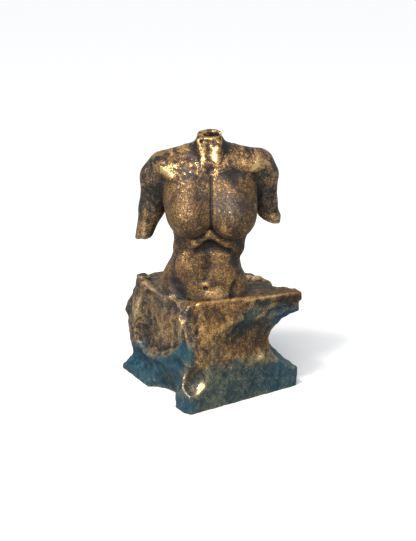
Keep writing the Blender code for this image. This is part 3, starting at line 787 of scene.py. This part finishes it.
# Lines, brighter with a positive gain, partly rubbed gold and partly painted highlights, and darker with a
# negative gain, painted shade along creases: start, end, width and gain.
STREAKS = placed(figure_place, (
    # The neck.
    ((-1.9, -8.9, 118.6), (-3.8, -15.5, 107.5), 0.0017, 0.46),
    ((3.3, -9.2, 117.7), (5.1, -13.5, 111.8), 0.0016, 0.34),
    ((5.1, -13.5, 111.8), (6.8, -16.4, 105.8), 0.0021, 0.44),
    # The shoulders and upper chest.
    ((-35.5, -12.5, 101.5), (-26.5, -17, 96.8), 0.0022, 0.36),
    ((30.8, -13.8, 98.3), (36.6, -12.4, 104), 0.0020, 0.32),
    # The arms.
    ((-46, -6, 72), (-49, -4, 48), 0.0022, 0.22),
    ((46, -6, 66), (50, 0, 59), 0.0022, 0.25),
    # The breasts.
    ((6, -37, 58), (16, -38, 57), 0.0018, 0.30),
    # The belly and hips.
    ((26, -16, 28), (28, -14, 14), 0.0020, 0.35),
)) + placed(block_place, (
    # The top and its rim.
    ((-43, -14, 84), (-38, -38, 84), 0.0014, 0.18),
    ((-46, 24, 83), (-45, -10, 80), 0.0013, 0.20),
    ((-30, -43, 83), (-5, -46.4, 82.5), 0.0012, 0.16),
    ((28, -51.3, 80.9), (50, -51.8, 80.6), 0.0013, 0.22),
    ((5, -48.5, 80.6), (28, -51.3, 80.9), 0.0013, 0.36),
    ((-45, -10, 80), (-42.5, -25.5, 70.5), 0.0013, 0.20),
    ((-46, -33, 79.5), (-45.3, -46, 70), 0.0012, 0.20),
    ((-36.5, -44.5, 79), (-35, -48, 60), 0.0018, -0.12),
    # The flange and the bite under it.
    ((14, -52, 73), (0, -51, 60), 0.0013, 0.18),
    ((5, -51, 72), (-7, -49, 58), 0.0024, -0.22),
    ((17, -52, 72), (30, -52.4, 74.5), 0.0020, 0.14),
    ((26, -51.5, 72), (12, -51, 60), 0.0020, -0.12),
    ((20, -51.5, 70), (8, -52, 64), 0.0014, 0.20),
    ((-7, -49, 58), (-11, -50, 36), 0.0024, -0.14),
    # The front.
    ((28, -49, 40), (17, -49.5, 32.5), 0.0022, 0.30),
    ((17, -49.5, 32.5), (4, -51.5, 29), 0.0022, 0.18),
    # The left face.
    ((-46, -46, 76), (-48, -50, 64), 0.0014, 0.30),
    ((-48, -50, 64), (-46.5, -52, 46), 0.0014, 0.12),
    # The foot.
    ((-35, -49, 27), (-40, -49, 15), 0.0026, 0.20),
    ((-46.5, 7, 22), (-46.5, 1, 16), 0.0010, 0.35),
    ((-38, -50, 15), (-48, -52, 18), 0.0020, 0.30),
))
# Darker spots, partly dark patina that stays and partly painted shade on the neck's sides, under the breasts,
# in hollows and under the block's ledges: place, size and loss.
DARKENED = placed(figure_place, (
    # The neck.
    ((3, 7.4, 125.6), 0.0065, 0.16),
    ((-5, 3.3, 124.5), 0.0050, 0.14),
    ((9, 3.6, 124.5), 0.0045, 0.18),
    ((7.8, -8.6, 120), 0.0035, 0.14),
    ((12, -9, 115), 0.006, 0.20),
    ((-8.8, -9, 114.4), 0.0030, 0.10),
    ((-9, -10, 114), 0.007, 0.25),
    ((12.8, -9.3, 113), 0.0050, 0.14),
    ((-11, -8, 112), 0.008, 0.24),
    ((1.0, -12.4, 112), 0.0014, 0.16),
    ((13, -7, 112), 0.006, 0.18),
    ((0.4, -14.9, 108.4), 0.0026, 0.30),
    ((3.3, -16.8, 104), 0.0040, 0.14),
    # The shoulders and upper chest.
    ((27.3, -5, 112), 0.006, 0.20),
    ((26, -8, 106), 0.006, 0.22),
    ((-22, -10, 105), 0.006, 0.16),
    ((-38, -6, 104), 0.008, 0.14),
    ((19, -20, 101), 0.0075, 0.50),
    ((-13, -17, 99), 0.013, 0.17),
    ((19.7, -18.2, 97.3), 0.008, 0.15),
    ((0, -22, 97), 0.004, 0.25),
    ((-14, -20, 92), 0.010, 0.08),
    ((14, -20, 92), 0.010, 0.05),
    # The arms.
    ((-43, -8.8, 91), 0.009, 0.10),
    ((-43, -4, 88), 0.016, 0.11),
    ((43, -2, 88), 0.016, 0.11),
    ((-36, -8, 86), 0.007, 0.14),
    ((40, -2, 76), 0.016, 0.20),
    ((-43, -6, 75), 0.015, 0.20),
    ((46, -2, 64), 0.012, 0.08),
    ((-47, -2, 60), 0.014, 0.11),
    ((49, 2, 60), 0.008, 0.08),
    ((-46, -2, 46), 0.008, 0.06),
    # The breasts.
    ((-15, -36, 76), 0.026, 0.09),
    ((19, -36, 76), 0.026, 0.18),
    ((-14, -36, 56), 0.010, 0.12),
    ((18, -36, 56), 0.010, 0.14),
    # The belly and hips.
    ((-12, -30, 50), 0.006, 0.08),
    ((-22, -22, 48), 0.006, 0.10),
    ((-27, -15, 46), 0.006, 0.10),
    ((22, -22, 46), 0.006, 0.06),
    ((-22, -18, 44), 0.012, 0.16),
    ((-9, -21, 44), 0.008, 0.08),
    ((2, -23, 44), 0.008, 0.25),
    ((24, -16, 44), 0.013, 0.20),
    ((-2, -26, 26), 0.006, 0.14),
    ((-26, -17, 20), 0.010, 0.08),
    ((-24, -20, 14), 0.012, 0.12),
    ((-28, -14, 12), 0.010, 0.14),
    ((-20, -22, 10), 0.011, 0.16),
    ((-31, -17, 6), 0.009, 0.10),
)) + placed(block_place, (
    # The top and its rim.
    ((31, -35.5, 80.7), 0.012, 0.13),
    ((43, -30, 80.7), 0.010, 0.08),
    ((46, -30, 80), 0.014, 0.08),
    ((-46, -40.5, 79), 0.006, 0.20),
    ((-45, -43, 79), 0.006, 0.12),
    ((-22, -46, 79), 0.010, 0.12),
    ((-49, -44, 78), 0.008, 0.12),
    ((0, -45, 78), 0.007, 0.12),
    ((12, -48, 78), 0.008, 0.22),
    ((26, -50, 78), 0.010, 0.10),
    ((30, -20, 78), 0.016, 0.08),
    ((46, -51, 77), 0.010, 0.14),
    # The flange and the bite under it.
    ((20, -51.5, 76.5), 0.0055, 0.16),
    ((31, -52, 76.5), 0.0055, 0.08),
    ((41, -52, 75.5), 0.008, 0.13),
    ((34, -50, 74), 0.007, 0.12),
    ((38, -51, 74), 0.012, 0.12),
    ((-1, -50.5, 62), 0.009, 0.06),
    ((2, -46, 62), 0.011, 0.12),
    ((16, -46, 60), 0.010, 0.12),
    # The front.
    ((14, -43, 42), 0.008, 0.10),
    # The left face.
    ((-45.2, -45.5, 70), 0.004, 0.14),
    ((-46, -48.5, 62), 0.006, 0.09),
    ((-46, -50, 58), 0.012, 0.07),
    ((-51, -26, 39), 0.009, 0.10),
    ((-46, -22, 34), 0.009, 0.25),
    ((-49.5, -5, 33), 0.009, 0.10),
))


# The bronze's colours, each from its darkest tone to its brightest.
COOL = (
    (0.08, (0.008, 0.011, 0.014)),
    (0.30, (0.029, 0.032, 0.035)),
    (0.46, (0.095, 0.074, 0.052)),
    (0.62, (0.280, 0.195, 0.110)),
    (0.80, (0.600, 0.430, 0.220)),
    (0.98, (1.000, 0.800, 0.480)),
)
WARM = (
    (0.08, (0.012, 0.009, 0.008)),
    (0.30, (0.040, 0.029, 0.021)),
    (0.46, (0.128, 0.069, 0.028)),
    (0.62, (0.340, 0.182, 0.066)),
    (0.85, (0.880, 0.570, 0.240)),
)
# The blue-green colours: partly patina and partly a painted reflection of blue from below.
SEA = (
    (0.10, (0.005, 0.014, 0.022)),
    (0.36, (0.014, 0.060, 0.094)),
    (0.58, (0.042, 0.112, 0.142)),
    (0.76, (0.120, 0.165, 0.150)),
    (0.94, (0.650, 0.500, 0.270)),
)
OLIVE = (
    (0.10, (0.010, 0.016, 0.016)),
    (0.36, (0.028, 0.048, 0.046)),
    (0.58, (0.092, 0.118, 0.096)),
    (0.76, (0.260, 0.230, 0.140)),
    (0.94, (0.700, 0.530, 0.270)),
)


def painted(mesh, name, values):
    """Gives each point of the mesh a value that the material reads by name."""
    layer = mesh.attributes.new(name, "FLOAT", "POINT")
    layer.data.foreach_set("value", np.asarray(values, dtype=np.float32))


def socket_value(shader, name, value):
    """Sets a value that is the same all over."""
    shader.inputs[name].default_value = value


def bronze():
    """Cast bronze: black and brown patina, rubbed to gold, with painted highlights and painted shade in its
    tone, blue-green low down that is partly patina and partly a painted reflection of blue from below, with a
    fine cast grain.
    """
    material = bpy.data.materials.new("rubbed_bronze")
    material.use_nodes = True
    nodes, links = material.node_tree.nodes, material.node_tree.links
    shader = nodes["Principled BSDF"]

    def node(kind, **values):
        made = nodes.new(kind)
        for name, value in values.items():
            setattr(made, name, value)
        return made

    def math(operation, a, b, clamp=False):
        """One step of arithmetic on two sockets or numbers."""
        made = node("ShaderNodeMath", operation=operation, use_clamp=clamp)
        for socket, value in zip(made.inputs, (a, b)):
            if hasattr(value, "is_output"):
                links.new(value, socket)
            else:
                socket.default_value = value
        return made.outputs[0]

    def cloud(wave, detail, rough, distortion=0.0, where=None):
        """Noise with the given wave length."""
        made = node("ShaderNodeTexNoise", noise_dimensions="3D")
        made.inputs["Scale"].default_value = 1 / wave
        made.inputs["Detail"].default_value = detail
        made.inputs["Roughness"].default_value = rough
        made.inputs["Distortion"].default_value = distortion
        links.new(where or place.outputs["Object"], made.inputs["Vector"])
        return made.outputs["Fac"]

    def ramp(fac, stops):
        """The colours in stops, along a value from 0 to 1."""
        made = node("ShaderNodeValToRGB")
        links.new(fac, made.inputs["Fac"])
        band = made.color_ramp
        while len(band.elements) < len(stops):
            band.elements.new(0.5)
        for element, (position, colour) in zip(band.elements, stops):
            element.position = position
            element.color = (*colour, 1)
        return made.outputs["Color"]

    place = node("ShaderNodeTexCoord")
    # The first value is how rubbed the bronze is, with painted highlights and painted shade in it; the second
    # is the blue-green, partly patina and partly a painted reflection of blue from below.
    worn_and_lit, green, mossy, brown, uneven, runny = (
        node("ShaderNodeAttribute", attribute_name=name).outputs["Fac"]
        for name in ("wear_and_painted_light", "verdigris_and_blue_reflection", "moss", "rust", "mottle", "drip")
    )
    broad = cloud(BROAD_WAVE, 5, 0.60, 1.2)
    middle = cloud(MIDDLE_WAVE, 5, 0.68, 0.8)
    fine = cloud(FINE_WAVE, 3, 0.75)
    drawn_out = node("ShaderNodeMapping")
    drawn_out.inputs["Scale"].default_value = (1, 1, RUN_STRETCH)
    links.new(place.outputs["Object"], drawn_out.inputs["Vector"])
    runs = cloud(RUN_WAVE, 4, 0.62, 0.4, drawn_out.outputs["Vector"])

    patches = ramp(broad, ((0.43, (0, 0, 0)), (0.52, (1, 1, 1))))
    flecks = ramp(middle, ((0.58, (0, 0, 0)), (0.66, (1, 1, 1))))
    specks = ramp(cloud(SPECK_WAVE, 2, 0.55), ((0.63, (0, 0, 0)), (0.69, (1, 1, 1))))
    blotches = math("MULTIPLY", math("SUBTRACT", patches, 0.66), 0.34)
    blotches = math("ADD", blotches, math("MULTIPLY", flecks, 0.26))
    blotches = math("ADD", blotches, math("MULTIPLY", math("SUBTRACT", fine, 0.5), 0.50))
    blotches = math("ADD", blotches, math("MULTIPLY", math("SUBTRACT", middle, 0.5), 0.45))
    cloudy = math("MULTIPLY", blotches, uneven)
    cloudy = math("ADD", cloudy, math("MULTIPLY", math("SUBTRACT", middle, 0.5), 0.42))
    cloudy = math("ADD", cloudy, math("MULTIPLY", math("SUBTRACT", fine, 0.5), 1.05))
    cloudy = math("ADD", cloudy, math("MULTIPLY", specks, 0.20))
    run_down = math("MULTIPLY", math("SUBTRACT", runs, 0.5), 0.62)
    cloudy = math("ADD", cloudy, math("MULTIPLY", run_down, runny))
    tone = math("ADD", worn_and_lit, cloudy, clamp=True)
    cool = ramp(tone, COOL)
    warm = ramp(tone, WARM)
    sea = ramp(tone, SEA)
    olive = ramp(tone, OLIVE)

    def mixed(factor, first, second):
        """The first colour, turning into the second as the factor goes to 1."""
        made = node("ShaderNodeMix", data_type="RGBA")
        links.new(factor, made.inputs["Factor"])
        links.new(first, made.inputs[MIX_FIRST])
        links.new(second, made.inputs[MIX_SECOND])
        return made.outputs[MIX_RESULT]

    colour = mixed(mossy, mixed(green, mixed(brown, cool, warm), sea), olive)
    links.new(colour, shader.inputs["Base Color"])
    metallic = ramp(tone, ((0.10, (0.20, 0.20, 0.20)), (0.55, (0.60, 0.60, 0.60)), (0.82, (1.0, 1.0, 1.0))))
    links.new(metallic, shader.inputs["Metallic"])
    rough = ramp(tone, ((0.15, (0.46, 0.46, 0.46)), (0.55, (0.58, 0.58, 0.58)), (0.85, (0.30, 0.30, 0.30))))
    links.new(rough, shader.inputs["Roughness"])
    socket_value(shader, "Specular IOR Level", 0.3)
    bump = node("ShaderNodeBump")
    bump.inputs["Strength"].default_value = 0.5
    bump.inputs["Distance"].default_value = BUMP_HEIGHT
    height = math("ADD", math("MULTIPLY", middle, 0.8), math("MULTIPLY", fine, 0.45))
    links.new(height, bump.inputs["Height"])
    links.new(bump.outputs["Normal"], shader.inputs["Normal"])
    return material


def cast_skin(low, high):
    """The bust as it shows, in place of the CAD solid, inside the box from low to high."""
    points, quads = skin(cast_field, *extent(), GRID_STEP)
    points = settled(cast_field, points, quads, RELAX_ROUNDS)
    _, outward, _ = slope(cast_field, points)
    shown = np.clip(relief(points, outward), low, high)
    mesh = bpy.data.meshes.new("bust_skin")
    mesh.from_pydata(shown.tolist(), [], quads.tolist())
    mesh.shade_smooth()
    # How rubbed the bronze is, with painted highlights and painted shade in it.
    painted(mesh, "wear_and_painted_light", wear_and_painted_light(points, quads, outward))
    patchy = grain(points, PATCH_WAVE, 3)
    # The blue-green, partly patina and partly a painted reflection of blue from below.
    painted(mesh, "verdigris_and_blue_reflection", verdigris_and_blue_reflection(points, patchy))
    painted(mesh, "moss", moss(points, patchy))
    painted(mesh, "rust", rust(points))
    painted(mesh, "drip", drip(points))
    painted(mesh, "mottle", mottle(points))
    mesh.materials.append(bronze())
    piece = bpy.data.objects.new("bust_skin", mesh)
    bpy.context.collection.objects.link(piece)
    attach(piece, "root")
    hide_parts("muse_bust")
    return piece


# The photograph's view.
CAMERA_AWAY = 0.9
CAMERA_LIFT = np.radians(19.7)
CAMERA_AIM = Vector((0, 0, 0.091))
CAMERA_LENS = 76.5


def camera():
    """A long lens that looks down on the bust."""
    data = bpy.data.cameras.new("photo_camera")
    data.lens = CAMERA_LENS
    data.sensor_width = 36
    data.clip_start = 0.01
    view = bpy.data.objects.new("photo_camera", data)
    view.location = CAMERA_AIM + CAMERA_AWAY * Vector((0, -np.cos(CAMERA_LIFT), np.sin(CAMERA_LIFT)))
    view.rotation_euler = (np.pi / 2 - CAMERA_LIFT, 0, 0)
    bpy.context.collection.objects.link(view)
    bpy.context.scene.camera = view


def floor():
    """A floor that shows pale and throws less light back up."""
    mesh = bpy.data.meshes.new("floor")
    reach = 12
    corners = [(-reach, -reach, 0), (reach, -reach, 0), (reach, reach, 0), (-reach, reach, 0)]
    mesh.from_pydata(corners, [], [(0, 1, 2, 3)])
    material = bpy.data.materials.new("pale_floor")
    material.use_nodes = True
    shader = material.node_tree.nodes["Principled BSDF"]
    nodes, links = material.node_tree.nodes, material.node_tree.links
    path = nodes.new("ShaderNodeLightPath")
    tint = nodes.new("ShaderNodeMix")
    tint.data_type = "RGBA"
    tint.inputs[MIX_FIRST].default_value = (0.38, 0.41, 0.44, 1)
    tint.inputs[MIX_SECOND].default_value = (0.93, 0.93, 0.93, 1)
    links.new(path.outputs["Is Camera Ray"], tint.inputs["Factor"])
    links.new(tint.outputs[MIX_RESULT], shader.inputs["Base Color"])
    socket_value(shader, "Roughness", 0.9)
    socket_value(shader, "Specular IOR Level", 0.0)
    mesh.materials.append(material)
    ground = bpy.data.objects.new("floor", mesh)
    bpy.context.collection.objects.link(ground)


def area_light(name, place, size, power, colour=(1, 1, 1)):
    """A round lamp at a place, aimed where the camera looks."""
    data = bpy.data.lights.new(name, "AREA")
    data.shape = "DISK"
    data.size = size
    data.energy = power
    data.color = colour
    lamp = bpy.data.objects.new(name, data)
    lamp.location = place
    lamp.rotation_euler = (CAMERA_AIM - Vector(place)).to_track_quat("-Z", "Y").to_euler()
    bpy.context.collection.objects.link(lamp)


def lights():
    """A soft sun, a warm key, a small glint and a white world."""
    data = bpy.data.lights.new("soft_sun", "SUN")
    data.energy = 1.9
    data.angle = np.radians(45)
    sun = bpy.data.objects.new("soft_sun", data)
    sun.rotation_euler = (np.radians(38), np.radians(-12), 0)
    bpy.context.collection.objects.link(sun)
    area_light("key", (-0.28, -0.40, 0.95), 0.12, 5, (1.0, 0.95, 0.88))
    area_light("glint", (-0.52, -0.60, 0.50), 0.09, 2.6, (1.0, 0.96, 0.90))
    world = bpy.data.worlds.new("studio")
    world.use_nodes = True
    nodes, links = world.node_tree.nodes, world.node_tree.links
    dim = nodes["Background"]
    dim.inputs["Color"].default_value = (0.95, 0.97, 1.0, 1)
    dim.inputs["Strength"].default_value = 0.58
    white = nodes.new("ShaderNodeBackground")
    white.inputs["Color"].default_value = (1, 1, 1, 1)
    mix = nodes.new("ShaderNodeMixShader")
    path = nodes.new("ShaderNodeLightPath")
    links.new(path.outputs["Is Camera Ray"], mix.inputs["Fac"])
    links.new(dim.outputs["Background"], mix.inputs[1])
    links.new(white.outputs["Background"], mix.inputs[2])
    links.new(mix.outputs["Shader"], nodes["World Output"].inputs["Surface"])
    bpy.context.scene.world = world
    bpy.context.scene.view_settings.view_transform = "Standard"


def main():
    """Builds the scene."""
    camera()
    cast_skin(*cad)
    floor()
    lights()


main()
